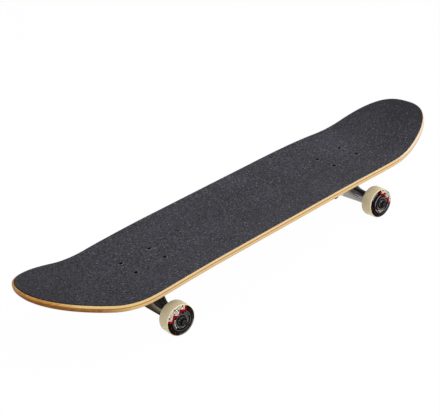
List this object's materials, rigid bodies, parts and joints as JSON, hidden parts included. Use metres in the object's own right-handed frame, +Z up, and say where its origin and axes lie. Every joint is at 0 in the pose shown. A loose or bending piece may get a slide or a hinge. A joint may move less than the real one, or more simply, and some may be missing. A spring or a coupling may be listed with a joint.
{
  "type": "popsicle skateboard",
  "caption": "Street skateboard with a kicked, dished maple deck, black grip tape, cast trucks that lean on urethane bushings, and cream wheels with printed faces.",
  "frame": {"origin": "middle of the board's length and width, on the ground under the wheels", "axes": "-X towards the nose, +X towards the tail, +Y to the rider's right when facing the nose, +Z up"},
  "size_m": [0.802, 0.2032, 0.1465],
  "materials": {
    "maple": "clear lacquer over pressed maple plies",
    "grit": "coarse matte grit",
    "cast_metal": "tumbled casting",
    "bright_steel": "bright zinc plate",
    "black_steel": "black oxide",
    "white_urethane": "cast urethane, printed on its outer face",
    "bushing_urethane": "cast urethane",
    "black_nylon": "moulded"
  },
  "bodies": {
    "root": {"deck": "maple", "grip_tape": "grit", "deck_bolt_nose_outer_left": "black_steel", "lock_nut_nose_outer_left": "bright_steel", "deck_bolt_nose_inner_left": "black_steel", "lock_nut_nose_inner_left": "bright_steel", "deck_bolt_nose_outer_right": "black_steel", "lock_nut_nose_outer_right": "bright_steel", "deck_bolt_nose_inner_right": "black_steel", "lock_nut_nose_inner_right": "bright_steel", "nose_baseplate": "cast_metal", "nose_pivot_cup": "black_nylon", "nose_kingpin": "black_steel", "nose_kingpin_nut": "black_steel", "nose_board_washer": "bright_steel", "nose_road_washer": "bright_steel", "nose_barrel_bushing": "bushing_urethane", "nose_cone_bushing": "bushing_urethane", "deck_bolt_tail_outer_left": "black_steel", "lock_nut_tail_outer_left": "bright_steel", "deck_bolt_tail_inner_left": "black_steel", "lock_nut_tail_inner_left": "bright_steel", "deck_bolt_tail_outer_right": "black_steel", "lock_nut_tail_outer_right": "bright_steel", "deck_bolt_tail_inner_right": "black_steel", "lock_nut_tail_inner_right": "bright_steel", "tail_baseplate": "cast_metal", "tail_pivot_cup": "black_nylon", "tail_kingpin": "black_steel", "tail_kingpin_nut": "black_steel", "tail_board_washer": "bright_steel", "tail_road_washer": "bright_steel", "tail_barrel_bushing": "bushing_urethane", "tail_cone_bushing": "bushing_urethane"},
    "nose_hanger_assembly": {"nose_hanger": "cast_metal", "nose_axle": "black_steel", "nose_left_speed_washer": "bright_steel", "nose_left_axle_nut": "black_steel", "nose_right_speed_washer": "bright_steel", "nose_right_axle_nut": "black_steel"},
    "nose_left_wheel_assembly": {"nose_left_wheel": "white_urethane", "nose_left_inner_bearing": "bright_steel", "nose_left_outer_bearing": "bright_steel"},
    "nose_right_wheel_assembly": {"nose_right_wheel": "white_urethane", "nose_right_inner_bearing": "bright_steel", "nose_right_outer_bearing": "bright_steel"},
    "tail_hanger_assembly": {"tail_hanger": "cast_metal", "tail_axle": "black_steel", "tail_left_speed_washer": "bright_steel", "tail_left_axle_nut": "black_steel", "tail_right_speed_washer": "bright_steel", "tail_right_axle_nut": "black_steel"},
    "tail_left_wheel_assembly": {"tail_left_wheel": "white_urethane", "tail_left_inner_bearing": "bright_steel", "tail_left_outer_bearing": "bright_steel"},
    "tail_right_wheel_assembly": {"tail_right_wheel": "white_urethane", "tail_right_inner_bearing": "bright_steel", "tail_right_outer_bearing": "bright_steel"}
  },
  "joints": [
    {"name": "nose_steer", "type": "hinge", "parent": "root", "child": "nose_hanger_assembly", "pos_m": [-0.22167, 0, 0.0674], "axis": [-0.8423, 0, 0.539], "range_deg": [-12, 12], "stiffness_Nm_per_rad": 60, "deforming": ["nose_barrel_bushing", "nose_cone_bushing"]},
    {"name": "nose_left_roll", "type": "hinge", "parent": "nose_hanger_assembly", "child": "nose_left_wheel_assembly", "pos_m": [-0.20527, -0.0784, 0.0255], "axis": [0, 1, 0], "continuous": true},
    {"name": "nose_right_roll", "type": "hinge", "parent": "nose_hanger_assembly", "child": "nose_right_wheel_assembly", "pos_m": [-0.20527, 0.0784, 0.0255], "axis": [0, 1, 0], "continuous": true},
    {"name": "tail_steer", "type": "hinge", "parent": "root", "child": "tail_hanger_assembly", "pos_m": [0.24227, 0, 0.0674], "axis": [0.8423, 0, 0.539], "range_deg": [-12, 12], "stiffness_Nm_per_rad": 60, "deforming": ["tail_barrel_bushing", "tail_cone_bushing"]},
    {"name": "tail_left_roll", "type": "hinge", "parent": "tail_hanger_assembly", "child": "tail_left_wheel_assembly", "pos_m": [0.22587, -0.0784, 0.0255], "axis": [0, 1, 0], "continuous": true},
    {"name": "tail_right_roll", "type": "hinge", "parent": "tail_hanger_assembly", "child": "tail_right_wheel_assembly", "pos_m": [0.22587, 0.0784, 0.0255], "axis": [0, 1, 0], "continuous": true}
  ]
}
